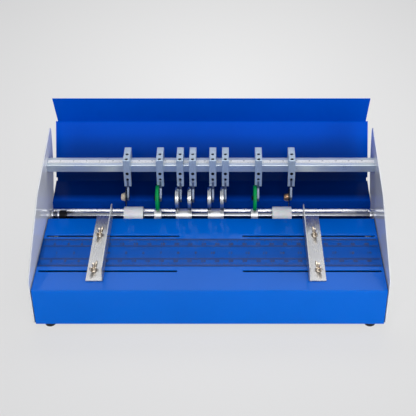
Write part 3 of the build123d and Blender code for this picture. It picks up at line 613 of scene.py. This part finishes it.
def eased(profile, radius, closed=True, steps=3):
    """Profile with each corner P replaced by the curve (1-t)^2 A + 2t(1-t) P + t^2 B.

    A and B lie on the two edges, at the given radius from P or a third of the shorter edge.
    """
    corner = np.array(profile, float)
    before = np.roll(corner, 1, 0) - corner
    after = np.roll(corner, -1, 0) - corner
    length_before = np.linalg.norm(before, axis=1, keepdims=True)
    length_after = np.linalg.norm(after, axis=1, keepdims=True)
    cut = np.minimum(radius, np.minimum(length_before, length_after) / 3)
    start = corner + before / length_before * cut
    end = corner + after / length_after * cut
    t = np.linspace(0, 1, steps + 1)[None, :, None]
    curve = (1 - t) ** 2 * start[:, None] + 2 * t * (1 - t) * corner[:, None] + t**2 * end[:, None]
    rounded = curve.reshape(-1, 2)
    if closed:
        return rounded
    return np.concatenate([corner[:1], rounded[steps + 1:-steps - 1], corner[-1:]])


def close_and_smooth(piece, sharp_degrees):
    """Merges a turned piece's poles and seams, turns its faces outwards, smooths it up to an angle."""
    shell = bmesh.new()
    shell.from_mesh(piece.data)
    bmesh.ops.remove_doubles(shell, verts=shell.verts, dist=1e-7)
    bmesh.ops.dissolve_degenerate(shell, edges=shell.edges, dist=1e-7)
    bmesh.ops.recalc_face_normals(shell, faces=shell.faces)
    shell.to_mesh(piece.data)
    shell.free()
    piece.data.shade_smooth()
    piece.data.set_sharp_from_angle(angle=math.radians(sharp_degrees))


turned_edge_degrees = 32


def turned_piece(name, profile, middle, body, material, segments=72, closed=True, replaces=(),
                 radius=None):
    """Surface turned about the X line through the middle.

    point(i, j) = (mx + s_i, my + r_ij sin a_j, mz + r_ij cos a_j) with a_j = 2 pi j / segments,
    for the profile (s_i, r_i) in metres. The radii may also be given for every i and j.
    """
    along = np.asarray(profile)[:, 0]
    out = np.asarray(profile)[:, 1, None] if radius is None else radius
    turn = np.arange(segments) * 2 * np.pi / segments
    ring = out * np.ones((1, segments))
    points = np.stack([middle[0] + along[:, None] + 0 * ring,
                       middle[1] + ring * np.sin(turn), middle[2] + ring * np.cos(turn)], -1)
    rows = np.arange(len(along)) if closed else np.arange(len(along) - 1)
    row, column = np.meshgrid(rows, np.arange(segments), indexing="ij")
    this_row, next_row = row * segments, (row + 1) % len(along) * segments
    following = (column + 1) % segments
    quads = np.stack([this_row + column, next_row + column, next_row + following, this_row + following], -1)
    faces = quads.reshape(-1, 4).tolist()
    piece = place_piece(name, points.reshape(-1, 3), faces, body, material, replaces=replaces)
    close_and_smooth(piece, turned_edge_degrees)
    return piece


chromed_bar = metal("chromed_bar", srgb(142, 145, 152), grain=(700.0, 30.0, 30.0), contrast=0.08,
                    smooth=0.18, dull=0.28, relief=0.05)
ground_bar = metal("ground_bar", srgb(236, 237, 239), grain=(700.0, 30.0, 30.0), contrast=0.08,
                   smooth=0.24, dull=0.34, relief=0.05)
shaft_middle = (machine_x, *node_middle("drive_shaft")[1:])
shaft_low, shaft_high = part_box("drive_shaft")
shaft_radius = 6.25 * mm
journal_radius = 4.0 * mm
stub_radius = 3.0 * mm
running_gap = 0.03 * mm
left_tip = shaft_low.x - machine_x
left_shoulder = -214.5 * mm
right_shoulder = 244.4 * mm
stub_shoulder = 254.0 * mm
right_tip = shaft_high.x - machine_x
shaft_profile = [
    (left_tip, 0), (left_tip, journal_radius), (left_shoulder, journal_radius),
    (left_shoulder, shaft_radius), (right_shoulder, shaft_radius), (right_shoulder, journal_radius),
    (stub_shoulder, journal_radius), (stub_shoulder, stub_radius), (right_tip, stub_radius), (right_tip, 0),
]
turned_piece("shaft_bar", eased(shaft_profile, 0.5 * mm, closed=False), shaft_middle, "shaft",
             chromed_bar, closed=False, replaces=("drive_shaft",))
rod_middle = (machine_x, *node_middle("tie_rod")[1:])
rod_radius = 4.0 * mm
rod_profile = [(-half_gap, 0), (-half_gap, rod_radius), (half_gap, rod_radius), (half_gap, 0)]
turned_piece("rod_bar", eased(rod_profile, 0.4 * mm, closed=False), rod_middle, "frame",
             ground_bar, closed=False, replaces=("tie_rod",))

# Bush profiles give the distance from the machine's middle and the radius, in millimetres.
turned_steel = metal("turned_steel", srgb(198, 199, 202), grain=(1400.0, 40.0, 40.0), contrast=0.3,
                     smooth=0.18, dull=0.34, relief=0.3)
for side, hand in ((-1, "left"), (1, "right")):
    bush_profile = [(side * s * mm, r * mm) for s, r in (
        (244.7, 4.03), (244.7, 8.9), (245.3, 9.5), (248.4, 9.5), (248.9, 8.6), (249.98, 8.6),
        (249.98, 7.0), (253.0, 7.0), (253.0, 4.03))]
    turned_piece(f"bush_{hand}", eased(bush_profile, 0.3 * mm), shaft_middle, "frame",
                 turned_steel, replaces=("shaft_bushes",))


def ring_profile(left, right, inside, outside):
    """Closed half section of a plain ring between two distances along X."""
    return [(left, inside), (left, outside), (right, outside), (right, inside)]


black_oxide = metal("black_oxide", srgb(14, 14, 15), grain=(500.0, 500.0, 500.0), contrast=0.2,
                    smooth=0.4, dull=0.6, relief=0.2, metallic=0.0)
black_oxide.node_tree.nodes["Principled BSDF"].inputs["Specular IOR Level"].default_value = 0.15
collar_bore = journal_radius + running_gap
collar_profile = ring_profile(-235.9 * mm, -225.5 * mm, collar_bore, 8.2 * mm)
turned_piece("collar_body", eased(collar_profile, 0.5 * mm), shaft_middle, "shaft",
             black_oxide, replaces=("shaft_collar",))
thrust_profile = ring_profile(-239.0 * mm, -236.0 * mm, collar_bore, 7.0 * mm)
turned_piece("collar_ring", eased(thrust_profile, 0.3 * mm), shaft_middle, "shaft",
             turned_steel)


# ---------------------------------------------------------------------------
# Anvils on the shaft: two turned white nylon sleeves under the perforating
# wheels, two steel rings under the scoring wheels and two grooved steel
# sleeves under the creasing wheels.
# ---------------------------------------------------------------------------
bore_radius = shaft_radius + running_gap
soft_radius = 14 * mm
score_ring_radius = 11.25 * mm
crease_sleeve_radius = 11 * mm
groove_place = 9.6 * mm
groove_width = 1.8 * mm
groove_depth = 1.4 * mm
nylon = moulded("nylon", srgb(246, 247, 249), grain_size=0.3 * mm, smooth=0.3, dull=0.45, relief=0.15)
nylon.node_tree.nodes["Principled BSDF"].inputs["Subsurface Weight"].default_value = 0.15
nylon.node_tree.nodes["Principled BSDF"].inputs["Subsurface Scale"].default_value = 2 * mm
bright_steel = metal("bright_steel", srgb(232, 232, 233), grain=(1500.0, 400.0, 400.0), contrast=0.35,
                     smooth=0.28, dull=0.5, relief=0.4, metallic=0.75)


def anvil_profile(name, rim, grooves=()):
    """Closed half section of a sleeve as long as its node; grooves are (middle, width, depth)."""
    half = (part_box(name)[1].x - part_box(name)[0].x) / 2
    outside = [(-half, rim)]
    for middle, width, depth in grooves:
        low, high = middle - width / 2, middle + width / 2
        outside += [(low, rim), (low, rim - depth), (high, rim - depth), (high, rim)]
    return [(-half, bore_radius)] + outside + [(half, rim), (half, bore_radius)]


sleeve_grooves = [(side * groove_place, groove_width, groove_depth) for side in (-1, 1)]
for hand in ("left", "right"):
    for kind, rim, grooves, edge, slot, finish in (
            ("soft_sleeve", soft_radius, (), 0.7 * mm, "white_nylon", nylon),
            ("score_ring", score_ring_radius, (), 0.5 * mm, "brushed_steel", bright_steel),
            ("crease_sleeve", crease_sleeve_radius, sleeve_grooves, 0.4 * mm, "brushed_steel", bright_steel)):
        name = f"{kind}_{hand}"
        turned_piece(f"{name}_turned", eased(anvil_profile(name, rim, grooves), edge), node_middle(name),
                     name, finish, replaces=(name,))


# ---------------------------------------------------------------------------
# Tool holders: aluminium saddles sawn from bar, milled and clear anodised,
# each with a black clamp screw on top and a black lock screw in front.
# ---------------------------------------------------------------------------
holder_aluminium = metal("holder_aluminium", srgb(180, 195, 206), grain=(900.0, 900.0, 160.0), contrast=0.5,
                         smooth=0.3, dull=0.48, relief=0.25, metallic=0.6)
holder_numbers = range(1, 9)
dress(holder_aluminium, *[f"tool_holder_{number}" for number in holder_numbers])
dress(black_oxide, *[f"holder_screws_{number}" for number in holder_numbers])


def upright_turned(rows, count=36):
    """Surface turned about Z from a closed loop of (height, radius).

    point(i, j) = (r_i cos a_j, r_i sin a_j, h_i) with a_j = 2 pi j / count.
    """
    rows = np.asarray(rows)
    turn = np.arange(count) * 2 * np.pi / count
    height, radius = rows[:, :1], rows[:, 1:]
    points = np.stack([radius * np.cos(turn), radius * np.sin(turn), height + 0 * turn], -1)
    row, column = np.meshgrid(np.arange(len(rows)), np.arange(count), indexing="ij")
    this_row, next_row = row * count, (row + 1) % len(rows) * count
    following = (column + 1) % count
    faces = np.stack([this_row + column, this_row + following, next_row + following, next_row + column], -1)
    return points.reshape(-1, 3), faces.reshape(-1, 4).tolist()


# The screw that limits the arm's stem sits in the front hole on top, with a socket in its end.
limit_screw_rows = [(h * mm, r * mm) for h, r in (
    (-1.6, 0), (-1.6, 2.5), (-0.2, 2.5), (0, 2.3), (0, 1.4), (-0.2, 1.25), (-1.3, 1.2), (-1.3, 0))]
limit_points, limit_faces = upright_turned(limit_screw_rows, 28)
stem_inset = 4.1 * mm
limit_depth = 0.7 * mm
for number in holder_numbers:
    low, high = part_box(f"tool_holder_{number}")
    limit_place = ((low.x + high.x) / 2, low.y + stem_inset, high.z - limit_depth)
    limit_screw = place_piece(f"limit_screw_{number}", limit_points + limit_place, limit_faces,
                              f"holder_{number}", black_oxide)
    close_and_smooth(limit_screw, turned_edge_degrees)


# ---------------------------------------------------------------------------
# Tool arms and wheels: laser-cut steel arms with a riveted axle. Steel
# creasing wheels with a raised rib, green polymer scoring wheels, and thin
# dark toothed perforating discs on a bronze or an ivory hub.
# ---------------------------------------------------------------------------
# Painted shade darkens the arm stems above this height; the arms are also darker within a radius of the axle.
stem_shade_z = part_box("tool_holder_1")[0].z + 10.3 * mm
stem_shade_edge = 0.1 * mm
stem_shade_tone = 0.03
axle_black_radius = 4.6 * mm
axle_black_edge = 0.15 * mm
axle_black_tone = 0.05
arm_kinds = {"perforating": (1, 8), "scoring": (2, 7), "creasing": (3, 4, 5, 6)}


def arm_finish(kind, numbers):
    """Brushed arm steel, with painted shade on the stem above the tongue, where it stands in the holder's
    slot, and darker near the axle.
    """
    finish = metal(f"{kind}_arm_steel", srgb(108, 118, 136), grain=(1100.0, 1100.0, 60.0), contrast=0.25,
                   smooth=0.34, dull=0.5, relief=0.25, metallic=0.8)
    tree = finish.node_tree
    place = tree.nodes.new("ShaderNodeTexCoord").outputs["Object"]
    parts = tree.nodes.new("ShaderNodeSeparateXYZ")
    tree.links.new(place, parts.inputs["Vector"])
    # Painted shade: the stem above the tongue is darkened, as if in the shadow of the holder's slot.
    stem = remap(tree, parts.outputs["Z"], stem_shade_z - stem_shade_edge, stem_shade_z + stem_shade_edge,
                 1.0, stem_shade_tone)
    axle = node_middle(f"{kind}_wheel_{numbers[0]}")
    across = math_node(tree, "SUBTRACT", parts.outputs["Y"], axle[1])
    above = math_node(tree, "SUBTRACT", parts.outputs["Z"], axle[2])
    squares = [math_node(tree, "MULTIPLY", offset, offset) for offset in (across, above)]
    distance = math_node(tree, "POWER", math_node(tree, "ADD", *squares), 0.5)
    # Darker within a small radius of the axle.
    axle_darkening = remap(tree, distance, axle_black_radius, axle_black_radius + axle_black_edge,
                  axle_black_tone, 1.0)
    skin = next(node for node in tree.nodes if node.type == "GROUP")
    darkened = toned(tree, skin.outputs["Color"], math_node(tree, "MULTIPLY", stem, axle_darkening))
    tree.links.new(darkened, tree.nodes["Principled BSDF"].inputs["Base Color"])
    return finish


for kind, numbers in arm_kinds.items():
    dress(arm_finish(kind, numbers), *[f"wheel_arm_{number}" for number in numbers])
axle_bore = 3.03 * mm
wheel_segments = 96


def mirrored(half_profile):
    """Closed wheel section: (x, r) rows from the left side to the rim, then back down at -x."""
    return half_profile + [(-x, r) for x, r in reversed(half_profile) if x != 0]


def dished_side(half, inner, outer, dish):
    """Left side of a wheel from its bore outwards, sunk by the dish between two radii."""
    return [(-half, axle_bore), (-half, inner), (-half + dish, inner + dish), (-half + dish, outer - dish),
            (-half, outer)]


mirror_steel = metal("mirror_steel", srgb(196, 197, 200), grain=(900.0, 50.0, 50.0), contrast=0.15,
                     smooth=0.24, dull=0.34, relief=0.1)
crease_half = 2.6 * mm
crease_rim = 18.3 * mm
crease_rib = 0.5 * mm
crease_rib_foot = 0.7 * mm
crease_tip = 19.5 * mm
crease_profile = mirrored(dished_side(crease_half, inner=6.5 * mm, outer=15.3 * mm, dish=0.7 * mm) + [
    (-crease_half, crease_rim), (-crease_rib_foot, crease_rim), (-crease_rib, crease_tip)])
for number in arm_kinds["creasing"]:
    name = f"creasing_wheel_{number}"
    turned_piece(f"{name}_turned", eased(crease_profile, 0.35 * mm), node_middle(name), f"wheel_{number}",
                 mirror_steel, segments=wheel_segments, replaces=(name,))

green_polymer = moulded("green_polymer", srgb(0, 146, 76), grain_size=0.5 * mm, smooth=0.25, dull=0.42,
                        relief=0.15, gloss=0.15)
score_half = 2.45 * mm
score_rim = 20.15 * mm
score_shift = 0.4 * mm
score_profile = mirrored(dished_side(score_half, inner=8.0 * mm, outer=16.6 * mm, dish=0.8 * mm) + [
    (-score_half, score_rim - 0.8 * mm), (-score_half * 0.5, score_rim - 0.2 * mm), (0, score_rim)])
for number in arm_kinds["scoring"]:
    name = f"scoring_wheel_{number}"
    middle = node_middle(name)
    turned_piece(f"{name}_turned", eased(score_profile, 0.4 * mm), (middle[0] + score_shift, *middle[1:]),
                 f"wheel_{number}", green_polymer, segments=wheel_segments, replaces=(name,))

blade_steel = metal("blade_steel", srgb(66, 67, 72), grain=(40.0, 900.0, 900.0), contrast=0.4,
                    smooth=0.2, dull=0.34, relief=0.2)
hub_bronze = metal("hub_bronze", srgb(158, 124, 98), grain=(1400.0, 60.0, 60.0), contrast=0.3,
                   smooth=0.26, dull=0.4, relief=0.2)
hub_ivory = moulded("hub_ivory", srgb(214, 200, 176), grain_size=0.3 * mm, smooth=0.3, dull=0.45, relief=0.15)
blade_half = 0.8 * mm
blade_web_half = 0.44 * mm
blade_edge_half = 0.2 * mm
blade_rim = 15.2 * mm
tooth_count = 48
samples_per_tooth = 8
samples_cut = 2
tooth_depth = 1.1 * mm
tooth_phase = np.arange(tooth_count * samples_per_tooth) % samples_per_tooth
tooth_cut = np.where(tooth_phase < samples_cut, tooth_depth, 0.0)
disc_profile = mirrored([
    (-blade_half, axle_bore), (-blade_half, 11.0 * mm), (-blade_web_half, 11.4 * mm),
    (-blade_web_half, blade_rim - 1.3 * mm), (-blade_edge_half, blade_rim)])
disc_radius = np.array(disc_profile)[:, 1:]
disc_radii = disc_radius - np.where(disc_radius == blade_rim, tooth_cut, 0.0)
# The hub is a cone with a domed cap over the axle's head, hollow where the head turns in it.
hub_profile = [(s * mm, r * mm) for s, r in (
    (-7.6, 0), (-7.6, 4.65), (-5.75, 4.65), (-5.75, 3.05), (-0.82, 3.05), (-0.82, 6.6), (-4.0, 6.1),
    (-7.2, 4.95), (-7.9, 3.2), (-8.1, 0))]
for number, hub_finish in ((1, hub_ivory), (8, hub_bronze)):
    name = f"perforating_wheel_{number}"
    low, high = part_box(name)
    disc_middle = (high.x - blade_half, (low.y + high.y) / 2, (low.z + high.z) / 2)
    turned_piece(f"{name}_disc", disc_profile, disc_middle, f"wheel_{number}", blade_steel,
                 segments=len(tooth_phase), replaces=(name,), radius=disc_radii)
    turned_piece(f"{name}_hub", eased(hub_profile, 0.6 * mm, closed=False), disc_middle,
                 f"wheel_{number}", hub_finish, closed=False)


# ---------------------------------------------------------------------------
# Paper guides: brushed steel angles, held down through the table slots by
# headed studs and cast wing nuts, nickel plated.
# ---------------------------------------------------------------------------
guide_steel = metal("guide_steel", srgb(178, 177, 176), grain=(900.0, 30.0, 900.0), contrast=0.16,
                    smooth=0.2, dull=0.36, relief=0.3, metallic=0.8)
dress(guide_steel, "left_guide", "right_guide")
nickel = metal("nickel", srgb(226, 212, 194), grain=(420.0, 420.0, 420.0), contrast=0.3,
               smooth=0.22, dull=0.38, relief=0.3)
dress(nickel, "left_guide_studs", "right_guide_studs", "side_screws")

ear_root_reach = 1.6 * mm
ear_root_height = 2.6 * mm
ear_root_half = 2.0 * mm
ear_tip_reach = 10.0 * mm
ear_tip_height = 9.0 * mm
ear_tip_half = 4.6 * mm
ear_thickness_half = 1.7 * mm
ear_flat_share = 0.15
nut_edge_degrees = 40
# Degrees that each nut is turned from the X axis, as it was left after the last setting.
nut_turns = {"left_front": 64, "left_back": 62, "right_front": 112, "right_back": 106}


def wing_shell(count=28, rings=7):
    """Rounded ear in the XZ plane: an outline shrunk to its middle by q, bulging to y = h sqrt(1 - q^4).

    With w = (1 + cos u) / 2 the outline runs from the root at w = 0 to the tip at w = 1: x is blended
    by w, and z is a middle height blended by w^1.3 plus sin u times a half height that grows by w^0.6.
    """
    u = np.arange(count) * 2 * np.pi / count
    blend = (1 + np.cos(u)) / 2
    outline_x = ear_root_reach + blend * (ear_tip_reach - ear_root_reach)
    middle_z = ear_root_height + blend**1.3 * (ear_tip_height - ear_root_height)
    outline_z = middle_z + np.sin(u) * (ear_root_half + (ear_tip_half - ear_root_half) * blend**0.6)
    middle = np.array([outline_x.mean(), outline_z.mean()])
    q = np.concatenate([np.linspace(ear_flat_share, 1, rings), np.linspace(1, ear_flat_share, rings)[1:]])
    sign = np.concatenate([-np.ones(rings), np.ones(rings - 1)])
    bulge = sign * ear_thickness_half * np.sqrt(np.clip(1 - q**4, 0, 1))
    x = middle[0] + q[:, None] * (outline_x - middle[0])
    z = middle[1] + q[:, None] * (outline_z - middle[1])
    y = bulge[:, None] + 0 * x
    points = np.stack([x, y, z], -1).reshape(-1, 3)
    row, column = np.meshgrid(np.arange(len(q) - 1), np.arange(count), indexing="ij")
    this_row, next_row = row * count, (row + 1) * count
    following = (column + 1) % count
    quads = np.stack([this_row + column, this_row + following, next_row + following, next_row + column], -1)
    ends = [tuple(range(count)), tuple(range(len(points) - 1, len(points) - count - 1, -1))]
    return points, quads.reshape(-1, 4).tolist() + ends


nut_barrel_rows = [(h * mm, r * mm) for h, r in (
    (0, 2.06), (0, 4.6), (0.25, 4.8), (1.2, 4.8), (1.7, 4.2), (4.2, 3.6), (4.8, 3.2), (4.8, 2.06))]
ear_points, ear_faces = wing_shell()
body_points, body_faces = upright_turned(nut_barrel_rows)
for label, turn in nut_turns.items():
    low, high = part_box(f"wing_nut_{label}")
    seat = np.array([(low.x + high.x) / 2, (low.y + high.y) / 2, low.z])
    shapes = [body_points]
    faces = list(body_faces)
    for half_turn in (0, np.pi):
        cosine = math.cos(math.radians(turn) + half_turn)
        sine = math.sin(math.radians(turn) + half_turn)
        spin = np.array([[cosine, -sine, 0], [sine, cosine, 0], [0, 0, 1]])
        start = sum(len(shape) for shape in shapes)
        shapes.append(ear_points @ spin.T)
        faces += [tuple(index + start for index in face) for face in ear_faces]
    nut = place_piece(f"wing_nut_{label}_cast", np.concatenate(shapes) + seat, faces,
                      f"wing_nut_{label}", nickel, replaces=(f"wing_nut_{label}",))
    close_and_smooth(nut, nut_edge_degrees)
